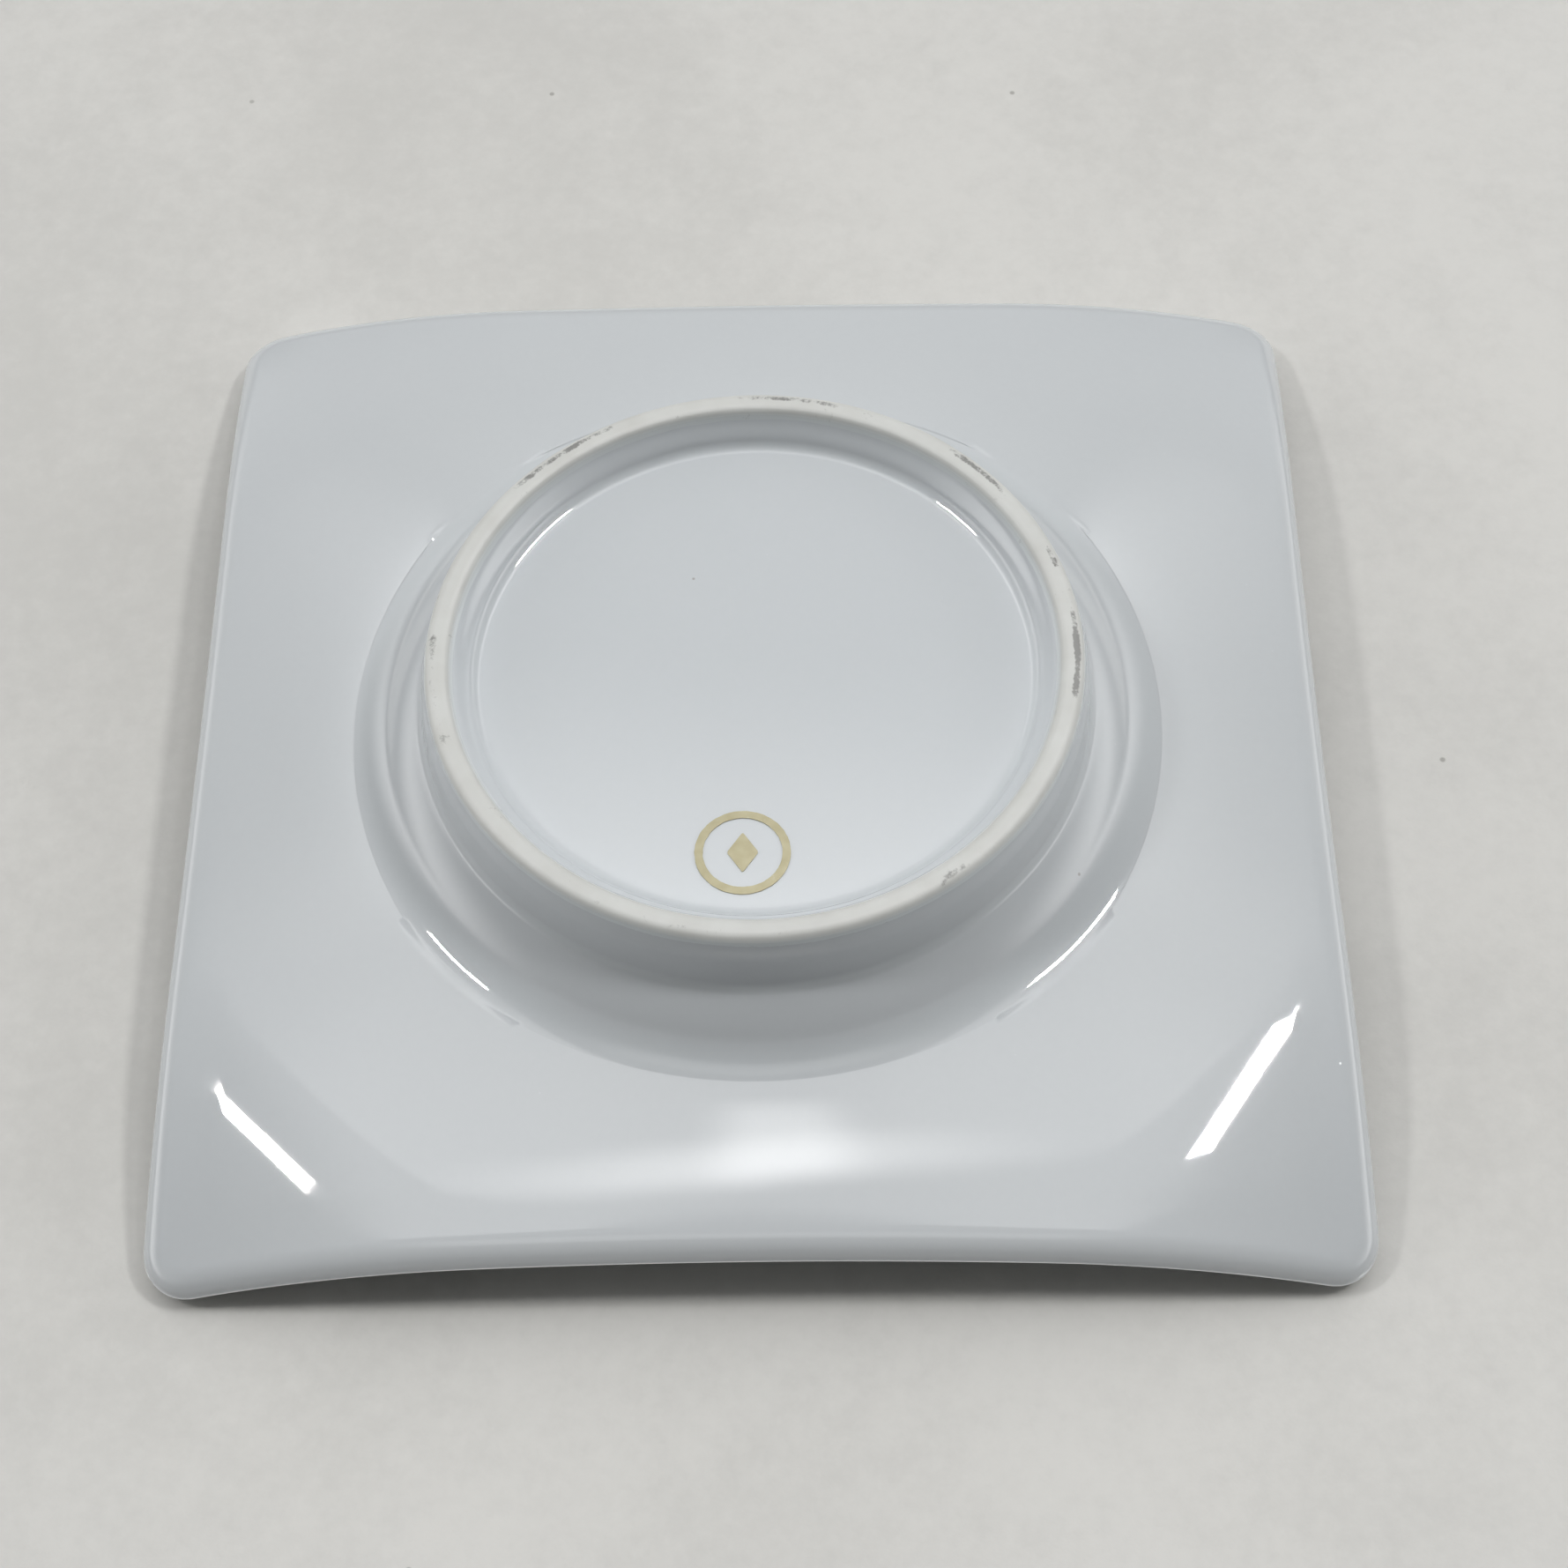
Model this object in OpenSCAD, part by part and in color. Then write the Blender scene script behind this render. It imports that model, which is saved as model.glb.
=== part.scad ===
// Square soy sauce dish of white glazed porcelain, with a round well and a round foot.
// It stands upright on its foot: z = 0 is the seat, and the axis of the well is the Z axis.

/* [Plate] */
// Side of the square plate, over its corners
plate_side = 100; // [84:1:140]
// Thickness of the glazed plate; the lip is a full round of this thickness
plate_t = 3.2; // [2.4:0.1:4.5]
// Radius of the plate's corners, seen from above
corner_r = 4; // [3:0.5:12]
// How far the middle of each side is drawn in behind the corners
side_hollow = 0.8; // [0:0.1:2]
// Slope of the flange from the crease to the middle of a side, in degrees
flange_slope = 7; // [3:0.5:14]
// How square the flange is: 2 is a round cone, and more gives four flatter sides
flange_square = 6; // [2:0.5:8]
// How far the corner tips are bent up from the flange
corner_lift = 3.14; // [0.5:0.01:6]
// Length of the bent part of each corner, along the diagonal
corner_bend = 18.2; // [10:0.1:22]
// Power of the bend, from even to sharp at the tip
corner_curl = 2.1; // [2:0.1:3]

/* [Well] */
// Diameter of the crease where the underside of the well meets the flange
crease_d = 67; // [64:0.5:76]
// Fillet in the crease
crease_r = 7; // [2:0.5:8]
// Height of the crease above the foot wall
bowl_rise = 4.4; // [3:0.1:8]
// Cove where the foot wall turns into the underside of the well
cove_r = 1.5; // [1:0.1:3]
// Fillet between the well's floor and its wall, on the upper side
well_fillet = 3; // [1:0.5:5]
// Rounding of the well's upper edge
shoulder_r = 4; // [1:0.5:5]

/* [Foot] */
// Outer diameter of the bare seat
foot_d = 55.5; // [46:0.5:57]
// Width of the bare seat
seat_w = 1.8; // [1.4:0.1:3]
// Height of the foot's outer wall, from the seat to the cove
foot_h = 5.9; // [4.5:0.1:9]
// How far the foot wall leans out from the seat to the cove
foot_flare = 0.5; // [0:0.1:1]
// Depth of the recess inside the foot
recess_depth = 3; // [2.4:0.1:4]
// How far the recess narrows from the seat to its floor
recess_draft = 1.7; // [0.4:0.1:3]
// Rounding of the seat's edges
seat_edge_r = 0.8; // [0.2:0.1:0.8]

/* [Glaze] */
// Thickness of the glaze coat
glaze_t = 0.3; // [0.2:0.05:0.5]
// Height of the bare band between the seat and the edge of the glaze
glaze_line = 0.9; // [0.7:0.1:1.6]
// Fillet of the glaze in the corner of the foot recess
recess_fillet = 0.7; // [0.5:0.1:1.5]

/* [Mark] */
// Outer diameter of the gold ring
mark_d = 8; // [5:0.5:12]
// Width of the gold line
mark_line = 0.8; // [0.4:0.1:1.4]
// Width of the lozenge inside the ring
lozenge_w = 2.6; // [1:0.1:3]
// Gap between the lozenge's tips and the ring
lozenge_gap = 1.3; // [0.4:0.1:1.5]
// Thickness of the gold print
mark_t = 0.08; // [0.05:0.01:0.2]
// Gap between the ring and the fillet of the recess, at the back
mark_gap = 1.5; // [1:0.1:12]
// Distance of the mark from the middle of the foot, towards the left
mark_left = 1; // [0:0.2:6]

/* [Hidden] */
$fn = 128;

// Facets of the plate: rays along half a side, rays round a corner, stations along a ray
half_side_steps = 5;
corner_steps = 6;
flange_steps = 5;
bend_steps = 4;
lip_steps = 4;
quarter_steps = 2 * half_side_steps + corner_steps;
rays = 4 * quarter_steps;
// A faceted ring takes this much more radius to clear a true circle inside it
facet_clear = 1 / cos(180 / rays);

lip_r = plate_t / 2;
foot_r = foot_d / 2;
foot_top = recess_depth + glaze_t;
recess_r = foot_r - seat_w;
ring_bore = mark_d - 2 * mark_line;
floor_top = recess_depth + plate_t;
crease = [crease_d / 2, foot_h + bowl_rise];

function unit(v) = v / norm(v);
function turn(v) = [-v.y, v.x];
function polar(a) = [cos(a), sin(a)];
function angle(v) = atan2(v.y, v.x);
// Point where the line through p along u meets the line through q along v
function cross_point(p, u, q, v) = p + u * (((q - p) * turn(v)) / (u * turn(v)));
// A station is a point of the glazed surface with the direction into the material
function deeper(stations, depth) = [for (s = stations) s[0] + depth * s[1]];
// Stations round the middle m; side is 1 where the material lies outside the arc, -1 where inside
function arc(m, r, from, to, side) =
    [for (k = [0 : bend_steps]) let (d = polar(from + (to - from) * k / bend_steps)) [m + r * d, side * d]];
// Stations of the fillet r in the corner b of the outline a, b, c
function fillet(a, b, c, r, side) =
    let (u = unit(a - b), v = unit(c - b), half = acos(u * v) / 2, m = b + unit(u + v) * r / sin(half),
         middle = angle(b - m), sweep = (90 - half) * sign(turn(u) * v))
    arc(m, r, middle + sweep, middle - sweep, side);

// Outline of the glazed underside: foot wall, cove, well and crease, out to the flange
wall_dir = unit([foot_flare, foot_h]);
wall_in = turn(wall_dir);
wall_foot = [foot_r, 0] - glaze_t * wall_in;
wall_top = [foot_r + foot_flare, foot_h] - glaze_t * wall_in;
// Place on the wall where the foot ring is joined to the well
joint = [foot_r + foot_flare * foot_top / foot_h, foot_top];
cove_at = wall_top - cove_r * wall_in;
cove_end = angle(crease - cove_at) + acos(cove_r / norm(crease - cove_at));
bowl_foot = cove_at + cove_r * polar(cove_end);
bowl_dir = unit(crease - bowl_foot);
flange_dir = polar(flange_slope);
under_wall = [[wall_foot + wall_dir * glaze_line, wall_in]];
under_round = concat(
    [[joint - glaze_t * wall_in, wall_in]],
    arc(cove_at, cove_r, angle(wall_in), cove_end, 1),
    fillet(bowl_foot, crease, crease + flange_dir, crease_r, 1));

// Outline of the glazed upper side: well's upper edge, wall and floor fillet
bowl_top = crease + plate_t * turn(bowl_dir);
flange_top = crease + plate_t * turn(flange_dir);
shoulder = cross_point(bowl_top, bowl_dir, flange_top, flange_dir);
well_corner = cross_point(bowl_top, bowl_dir, [0, floor_top], [1, 0]);
upper_round = concat(
    fillet(shoulder + flange_dir, shoulder, well_corner, shoulder_r, -1),
    fillet(shoulder, well_corner, [0, floor_top], well_fillet, 1));

// Middle line of the lip, seen from above: hollow sides and round corners
corner_at = plate_side / 2 - corner_r;
core_r = corner_r - lip_r;
splay = atan(2 * side_hollow / corner_at);
side_end = corner_at - core_r * sin(splay);
side_out = corner_at + core_r * cos(splay);
tip_reach = corner_at * sqrt(2) + core_r;
// Each ray is a point on that line with the direction out of the plate, for one quarter turn
function side_ray(w) =
    [[side_out - side_hollow * (1 - w * w), side_end * w], unit([1, -2 * side_hollow * w / side_end])];
function corner_ray(a) = [[corner_at, corner_at] + core_r * polar(a), polar(a)];
function flip(ray) = [[ray[0].y, ray[0].x], [ray[1].y, ray[1].x]];
function spin(p, a) = [p.x * cos(a) - p.y * sin(a), p.x * sin(a) + p.y * cos(a)];
quarter = concat(
    [for (k = [0 : half_side_steps - 1]) side_ray(sin(90 * k / half_side_steps))],
    [for (k = [0 : corner_steps]) corner_ray(-splay + (90 + 2 * splay) * k / corner_steps)],
    [for (k = [half_side_steps - 1 : -1 : 1]) flip(side_ray(sin(90 * k / half_side_steps)))]);
lip_rays = [for (q = [0 : 3], ray = quarter) [spin(ray[0], 90 * q), spin(ray[1], 90 * q)]];

// Middle surface of the flange: a squared cone from a circle at the crease, with its corners bent up
flange_start = (under_round[len(under_round) - 1][0] + upper_round[0][0]) / 2;
bend_start = tip_reach - corner_bend;
start_slope = tan(flange_slope);
function square_reach(p) =
    pow(pow(abs(p.x), flange_square) + pow(abs(p.y), flange_square), 1 / flange_square);
function bent(p) = max((abs(p.x) + abs(p.y)) / sqrt(2) - bend_start, 0) / corner_bend;
function flange_z(p) =
    flange_start.y + start_slope * square_reach(p) * (1 - flange_start.x / norm(p))
    + corner_lift * pow(bent(p), corner_curl);
// Slope of that surface along one axis, at the distance u from the middle
function axis_slope(p, u) =
    sign(u) * (
        start_slope * pow(abs(u) / square_reach(p), flange_square - 1) * (1 - flange_start.x / norm(p))
        + start_slope * square_reach(p) * flange_start.x * abs(u) / pow(norm(p), 3)
        + corner_lift * corner_curl * pow(bent(p), corner_curl - 1) / (corner_bend * sqrt(2)));
function flange_tilt(p) = [axis_slope(p, p.x), axis_slope(p, p.y)];
// Rays run over it in plan, from the circle to the middle line of the lip
ray_angles = [for (i = [0 : rays - 1]) 360 * i / rays];
function ray_at(i, s) = flange_start.x * polar(ray_angles[i]) * (1 - s) + lip_rays[i][0] * s;

// Rings of points round the plate, at a depth below the glazed surface
function round_rings(stations, depth) =
    [for (p = deeper(stations, depth)) [for (a = ray_angles)
        [p.x * facet_clear * cos(a), p.x * facet_clear * sin(a), p.y]]];
// Ring at the angle a round the middle line: -90 is the underside, 0 the rim and 90 the upper side
function lip_ring(s, a, depth) =
    [for (i = [0 : rays - 1])
        let (p = ray_at(i, s), tilt = flange_tilt(p), rim = lip_rays[i][1], r = lip_r - depth,
             out = unit([rim.x, rim.y, rim * tilt]), up = unit([-tilt.x, -tilt.y, 1]))
        [p.x, p.y, flange_z(p)] + r * (cos(a) * out + sin(a) * up)];
function under_rings(depth) = concat(
    round_rings(under_round, depth),
    [for (k = [1 : flange_steps]) lip_ring(k / flange_steps, -90, depth)],
    [for (k = [1 : lip_steps]) lip_ring(1, 90 * (k / lip_steps - 1), depth)]);
function upper_rings(depth) = concat(
    [for (k = [0 : lip_steps - 1]) lip_ring(1, 90 * k / lip_steps, depth)],
    [for (k = [flange_steps : -1 : 1]) lip_ring(k / flange_steps, 90, depth)],
    round_rings(upper_round, depth));
function reversed(list) = [for (k = [len(list) - 1 : -1 : 0]) list[k]];

// Solid through a row of rings, closed by flat ends or joined from the last ring to the first.
// Each facet is split along its shorter diagonal, so solids that share rings meet without a gap.
module loft(rings, joined = false) {
    points = [for (ring = rings) each ring];
    last = len(rings) - (joined ? 1 : 2);
    skin = [for (j = [0 : last], i = [0 : rays - 1])
        let (next = (i + 1) % rays, a = j * rays, b = ((j + 1) % len(rings)) * rays,
             straight = norm(points[a + i] - points[b + next]) < norm(points[a + next] - points[b + i]))
        each straight ? [[a + i, b + i, b + next], [a + i, b + next, a + next]]
                      : [[a + i, b + i, a + next], [a + next, b + i, b + next]]];
    ends = [[for (i = [0 : rays - 1]) i], [for (i = [rays - 1 : -1 : 0]) (len(rings) - 1) * rays + i]];
    polyhedron(points, joined ? skin : concat(skin, ends));
}

// Fired porcelain plate: flange and well, under its glaze
module porcelain_body() {
    rim_shared = upper_rings(glaze_t);
    color("whitesmoke")
        loft(concat(under_rings(glaze_t), [for (k = [1 : len(rim_shared) - 1]) rim_shared[k]]));
}

// Outline inside the foot: the wall of the recess leans in from the seat to the floor
recess_dir = unit([-recess_draft, recess_depth]);
recess_lean = recess_draft / recess_depth;
recess_skin = glaze_t / recess_dir.y;
recess_corner = [recess_r - recess_skin - recess_draft, recess_depth];
recess_round = deeper(fillet(recess_corner - recess_dir, recess_corner, [0, recess_depth], recess_fillet, 1), 0);
recess_flat_r = recess_round[bend_steps].x;
recess_top = [recess_r - recess_lean * foot_top, foot_top];

// Rounded edge of the seat at the radius r, between the points a and c
function seat_edge(a, r, c) = deeper(fillet(a, [r, 0], c, seat_edge_r, -1), 0);

// Foot ring with its bare seat, joined flat against the underside of the well
module foot_ring() {
    color("gainsboro")
        rotate_extrude()
            polygon(concat(
                [recess_top],
                seat_edge(recess_top, recess_r, [foot_r, 0]),
                seat_edge([recess_r, 0], foot_r, joint),
                [joint]));
}

// Clear glaze on the eating side, from the middle of the lip in to the well's floor
module upper_glaze() {
    color("azure") loft(concat(reversed(upper_rings(glaze_t)), upper_rings(0)));
}

// Clear glaze under the plate, from the bare band on the foot out to the middle of the lip
module under_glaze() {
    outer = concat(round_rings(under_wall, 0), under_rings(0));
    inner = concat(round_rings(under_wall, glaze_t), under_rings(glaze_t));
    color("aliceblue") loft(concat(outer, reversed(inner)), joined = true);
}

// Clear glaze inside the foot: floor and wall of the recess, down to the bare band
module recess_glaze() {
    edge = [recess_r - recess_lean * glaze_line, glaze_line];
    color("aliceblue")
        rotate_extrude()
            polygon(concat(
                [[0, foot_top], recess_top],
                [edge, edge - [recess_skin, 0]],
                recess_round,
                [[0, recess_depth]]));
}

// Place of the gold print, just under the recess floor
module at_mark() {
    mark_back = recess_flat_r - mark_gap - mark_d / 2;
    translate([-mark_left, mark_back, recess_depth - mark_t]) children();
}

// Gold line round the print
module mark_ring() {
    color("tan")
        at_mark()
            linear_extrude(mark_t)
                difference() {
                    circle(d = mark_d);
                    circle(d = ring_bore);
                }
}

// Gold lozenge in the middle of the print
module mark_lozenge() {
    tip = ring_bore / 2 - lozenge_gap;
    edge = lozenge_w / 2;
    color("tan")
        at_mark()
            linear_extrude(mark_t)
                polygon([[edge, 0], [0, tip], [-edge, 0], [0, -tip]]);
}

porcelain_body();
foot_ring();
upper_glaze();
under_glaze();
recess_glaze();
mark_ring();
mark_lozenge();
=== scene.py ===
import math

import bmesh
import bpy
from mathutils import Matrix, Vector


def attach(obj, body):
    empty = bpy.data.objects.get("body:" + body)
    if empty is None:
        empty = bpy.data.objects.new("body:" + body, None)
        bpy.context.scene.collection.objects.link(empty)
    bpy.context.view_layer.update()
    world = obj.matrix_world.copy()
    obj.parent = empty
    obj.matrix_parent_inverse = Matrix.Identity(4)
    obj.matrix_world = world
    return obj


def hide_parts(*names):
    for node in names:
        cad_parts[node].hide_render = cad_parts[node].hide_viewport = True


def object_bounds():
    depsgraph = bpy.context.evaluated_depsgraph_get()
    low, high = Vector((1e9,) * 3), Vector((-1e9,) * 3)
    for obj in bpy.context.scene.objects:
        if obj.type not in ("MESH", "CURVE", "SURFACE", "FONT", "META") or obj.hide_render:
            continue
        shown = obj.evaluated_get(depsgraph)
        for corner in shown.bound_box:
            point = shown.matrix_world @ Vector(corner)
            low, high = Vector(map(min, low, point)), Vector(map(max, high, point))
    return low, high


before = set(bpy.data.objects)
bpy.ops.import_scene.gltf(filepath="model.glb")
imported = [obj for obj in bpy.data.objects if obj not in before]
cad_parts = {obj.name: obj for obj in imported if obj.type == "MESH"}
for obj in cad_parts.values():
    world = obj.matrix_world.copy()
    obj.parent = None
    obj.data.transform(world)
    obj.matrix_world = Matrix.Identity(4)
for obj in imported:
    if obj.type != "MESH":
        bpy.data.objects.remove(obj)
cad_low, cad_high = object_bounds()
scene = bpy.context.scene
scene.view_settings.view_transform = "Standard"


# Porcelain plate
# The white body of the dish: a square plate with four lifted corners round a round well, pressed from
# porcelain clay and fired. The glaze covers it all over, and the foot ring is luted on below the well.
mm = 0.001
plate_side = 100 * mm
plate_t = 3.2 * mm
corner_r = 4 * mm
side_hollow = 0.8 * mm
flange_slope = math.radians(7)
flange_square = 6
corner_lift = 3.14 * mm
corner_bend = 18.2 * mm
corner_curl = 2.1
crease_r = 7 * mm
crease_dip = 0.05 * mm
crease_dip_w = 1.2 * mm
bowl_rise = 4.4 * mm
bowl_bulge = 0.12 * mm
cove_r = 1.5 * mm
well_fillet = 3 * mm
shoulder_r = 4 * mm
foot_r = 27.75 * mm
foot_h = 5.9 * mm
foot_flare = 0.5 * mm
recess_depth = 3 * mm
recess_draft = 1.7 * mm
glaze_t = 0.3 * mm
glaze_line = 0.9 * mm
foot_top = recess_depth + glaze_t
floor_top = recess_depth + plate_t
crease = Vector((33.5 * mm, foot_h + bowl_rise))
lip_r = plate_t / 2
lip_band = 2.5 * mm


def polar(a):
    return Vector((math.cos(a), math.sin(a)))


def turned(v):
    return Vector((-v.y, v.x))


def angle(v):
    return math.atan2(v.y, v.x)


def meet(p, u, q, v):
    """Point where the line through p along u meets the line through q along v."""
    return p + u * ((q - p).dot(turned(v)) / u.dot(turned(v)))


def arc(middle, radius, start, stop, side, steps):
    """Points round an arc, each with the way into the clay and how the glaze pools or thins on it."""
    points = []
    for k in range(steps + 1):
        way = polar(start + (stop - start) * k / steps)
        points.append((middle + radius * way, side * way, side * math.sin(math.pi * k / steps)))
    return points


def fillet(a, b, c, radius, side, steps):
    """Rounding of the corner b in the outline a, b, c."""
    u, v = (a - b).normalized(), (c - b).normalized()
    half = math.acos(u.dot(v)) / 2
    middle = b + (u + v).normalized() * radius / math.sin(half)
    sweep = math.copysign(math.pi / 2 - half, turned(u).dot(v))
    start = angle(b - middle)
    return arc(middle, radius, start + sweep, start - sweep, side, steps)


# Outline under the plate, at the glazed surface: foot wall, cove, well and crease
wall_dir = Vector((foot_flare, foot_h)).normalized()
wall_in = turned(wall_dir)
wall_foot = Vector((foot_r, 0)) - glaze_t * wall_in
wall_top = Vector((foot_r + foot_flare, foot_h)) - glaze_t * wall_in
joint = Vector((foot_r + foot_flare * foot_top / foot_h, foot_top))
cove_at = wall_top - cove_r * wall_in
reach = crease - cove_at
cove_end = angle(reach) + math.acos(cove_r / reach.length)
bowl_foot = cove_at + cove_r * polar(cove_end)
bowl_dir = (crease - bowl_foot).normalized()
flange_dir = polar(flange_slope)
cove = arc(cove_at, cove_r, angle(wall_in), cove_end, 1, 14)
crease_round = fillet(bowl_foot, crease, crease + flange_dir, crease_r, 1, 12)
bowl_in = turned(bowl_dir)
bowl_steps = 8
bowl_side = []
for k in range(1, bowl_steps):
    share = k / bowl_steps
    bulge = 4 * share * (1 - share) * bowl_bulge
    bowl_side.append((bowl_foot.lerp(crease_round[0][0], share) - bulge * bowl_in, bowl_in, 0))
under_round = cove + bowl_side + crease_round

# Outline above the plate: upper edge of the well, its wall and its floor
bowl_top = crease + plate_t * bowl_in
shoulder = meet(bowl_top, bowl_dir, crease + plate_t * turned(flange_dir), flange_dir)
well_corner = meet(bowl_top, bowl_dir, Vector((0, floor_top)), Vector((1, 0)))
upper_round = fillet(shoulder + flange_dir, shoulder, well_corner, shoulder_r, -1, 14) + fillet(
    shoulder, well_corner, Vector((0, floor_top)), well_fillet, 1, 12)
flange_start = (under_round[-1][0] + upper_round[0][0]) / 2
floor_edge = 0.4 * mm
well_flat_r = upper_round[-1][0].x - floor_edge


def on_round(points, depth):
    """Stations of a turned surface, sunk by depth into the clay."""
    return [{"at": p + depth * inward, "pool": pool} for p, inward, pool in points]


def on_flange(first, last, roll, depth, steps):
    """Stations from one share of the flange's width to another, on its upper or under side."""
    shares = [first + (last - first) * k / steps for k in range(steps + 1)]
    return [{"along": s, "roll": roll, "depth": depth} for s in shares]


def on_upper_lip(depth):
    """Stations round the upper half of the plate's edge, from the rim."""
    rolls = [math.radians(a) for a in (0, 0.5, *range(10, 90, 10))]
    return [{"along": 1, "roll": a, "depth": depth, "pool": -math.cos(a)} for a in rolls]


lip_steps = 14
lip_fullness = 2.6


def on_under_lip(depth):
    """Stations of the underside where it rounds off to the rim, over a wider band than the upper side."""
    stations = []
    for k in range(lip_steps + 1):
        from_rim = lip_band * (1 - k / lip_steps) ** 2
        drop = lip_r * math.sqrt(1 - (1 - from_rim / lip_band) ** lip_fullness)
        out = max(lip_r - from_rim, 0)
        stations.append({"along": 1, "inset": max(from_rim - lip_r, 0), "roll": -math.atan2(drop, out),
                         "depth": depth + lip_r - math.hypot(out, drop), "pool": from_rim / lip_band - 1})
    return stations


flange_in, flange_out = 0.04, 0.8
under_side, upper_side = -math.pi / 2, math.pi / 2


def under_stations(depth, steps):
    """Stations of the whole underside, from the foot wall out to the rim."""
    flange = on_flange(flange_in, flange_out, under_side, depth, steps)
    return on_round(under_round, depth) + flange + on_under_lip(depth)


def upper_stations(depth, steps):
    """Stations of the whole upper side, from the rim in to the middle of the well."""
    flange = on_flange(1, flange_in, upper_side, depth, steps)
    well_floor = [{"at": Vector((r, floor_top - depth))} for r in (well_flat_r, 0)]
    return on_upper_lip(depth) + flange + on_round(upper_round, depth) + well_floor


station_words = ("along", "inset", "roll", "depth", "wander_r", "wander_z", "pool")


class Rule:
    """A number inside a node tree, so that the rule of a shape reads as a formula."""

    def __init__(self, tree, socket):
        self.tree, self.socket = tree, socket

    def do(self, operation, *others):
        node = self.tree.nodes.new("ShaderNodeMath")
        node.operation = operation
        for slot, value in zip(node.inputs, (self, *others)):
            if isinstance(value, Rule):
                self.tree.links.new(value.socket, slot)
            else:
                slot.default_value = value
        return Rule(self.tree, node.outputs[0])

    def __add__(self, other):
        return self.do("ADD", other)

    def __sub__(self, other):
        return self.do("SUBTRACT", other)

    def __mul__(self, other):
        return self.do("MULTIPLY", other)

    def __truediv__(self, other):
        return self.do("DIVIDE", other)

    def __pow__(self, other):
        return self.do("POWER", other)


def start_form(name, sizes):
    """A tree whose named sizes come in with an outline, and whose sheet has a row for each station."""
    tree = bpy.data.node_groups.new(name, "GeometryNodeTree")
    tree.interface.new_socket("Outline", in_out="INPUT", socket_type="NodeSocketGeometry")
    for size in sizes:
        tree.interface.new_socket(size, in_out="INPUT", socket_type="NodeSocketFloat")
    for whole in ("Rays", "Seed"):
        tree.interface.new_socket(whole, in_out="INPUT", socket_type="NodeSocketInt")
    tree.interface.new_socket("Finish", in_out="INPUT", socket_type="NodeSocketMaterial")
    tree.interface.new_socket("Piece", in_out="OUTPUT", socket_type="NodeSocketGeometry")
    given = tree.nodes.new("NodeGroupInput")
    value = {size: Rule(tree, given.outputs[size]) for size in (*sizes, "Rays", "Seed")}
    count = tree.nodes.new("GeometryNodeAttributeDomainSize")
    tree.links.new(given.outputs["Outline"], count.inputs["Geometry"])
    sheet = tree.nodes.new("GeometryNodeMeshGrid")
    columns = value["Rays"] + 1
    tree.links.new(count.outputs["Point Count"], sheet.inputs["Vertices X"])
    tree.links.new(columns.socket, sheet.inputs["Vertices Y"])
    index = Rule(tree, tree.nodes.new("GeometryNodeInputIndex").outputs["Index"])
    row = ((index + 0.5) / columns).do("FLOOR")
    value["share"] = (index - row * columns) / value["Rays"]

    def sample(source, kind):
        node = tree.nodes.new("GeometryNodeSampleIndex")
        node.data_type = kind
        tree.links.new(given.outputs["Outline"], node.inputs["Geometry"])
        tree.links.new(source, node.inputs["Value"])
        tree.links.new(row.socket, node.inputs["Index"])
        return node.outputs["Value"]

    for word in station_words:
        read = tree.nodes.new("GeometryNodeInputNamedAttribute")
        read.data_type = "FLOAT"
        read.inputs["Name"].default_value = word
        value[word] = Rule(tree, sample(read.outputs["Attribute"], "FLOAT"))
    place = tree.nodes.new("ShaderNodeSeparateXYZ")
    spot = tree.nodes.new("GeometryNodeInputPosition").outputs[0]
    tree.links.new(sample(spot, "FLOAT_VECTOR"), place.inputs[0])
    value["r"], value["z"] = Rule(tree, place.outputs["X"]), Rule(tree, place.outputs["Z"])
    return tree, given, sheet, value


def wandering(tree, value, a):
    """A slow random swing between 0 and 1 on the way round, from the seed."""
    walk_r, seed_step = 2.5, 7.3
    spot = tree.nodes.new("ShaderNodeCombineXYZ")
    walk = (a.do("COSINE") * walk_r, a.do("SINE") * walk_r, value["Seed"] * seed_step)
    for socket, part in zip(spot.inputs, walk):
        tree.links.new(part.socket, socket)
    noise = tree.nodes.new("ShaderNodeTexNoise")
    noise.inputs["Scale"].default_value = 3
    noise.inputs["Detail"].default_value = 4
    tree.links.new(spot.outputs[0], noise.inputs["Vector"])
    return Rule(tree, noise.outputs[0])


def end_form(tree, given, sheet, x, y, z, pool):
    """Puts the sheet in its place, notes where glaze pools, closes its seams and gives it its finish."""
    seam_gap = 0.5e-6
    spot = tree.nodes.new("ShaderNodeCombineXYZ")
    for socket, part in zip(spot.inputs, (x, y, z)):
        tree.links.new(part.socket, socket)
    note, move, close, whole, coat = [tree.nodes.new("GeometryNode" + kind) for kind in (
        "StoreNamedAttribute", "SetPosition", "MergeByDistance", "RealizeInstances", "SetMaterial")]
    note.inputs["Name"].default_value = "pool"
    tree.links.new(pool.socket, note.inputs["Value"])
    tree.links.new(spot.outputs[0], move.inputs["Position"])
    close.inputs["Distance"].default_value = seam_gap
    tree.links.new(given.outputs["Finish"], coat.inputs["Material"])
    flow = sheet.outputs["Mesh"]
    for step in (note, move, close, whole, coat):
        tree.links.new(flow, step.inputs["Geometry"])
        flow = step.outputs["Geometry"]
    tree.links.new(flow, tree.nodes.new("NodeGroupOutput").inputs["Piece"])


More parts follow.
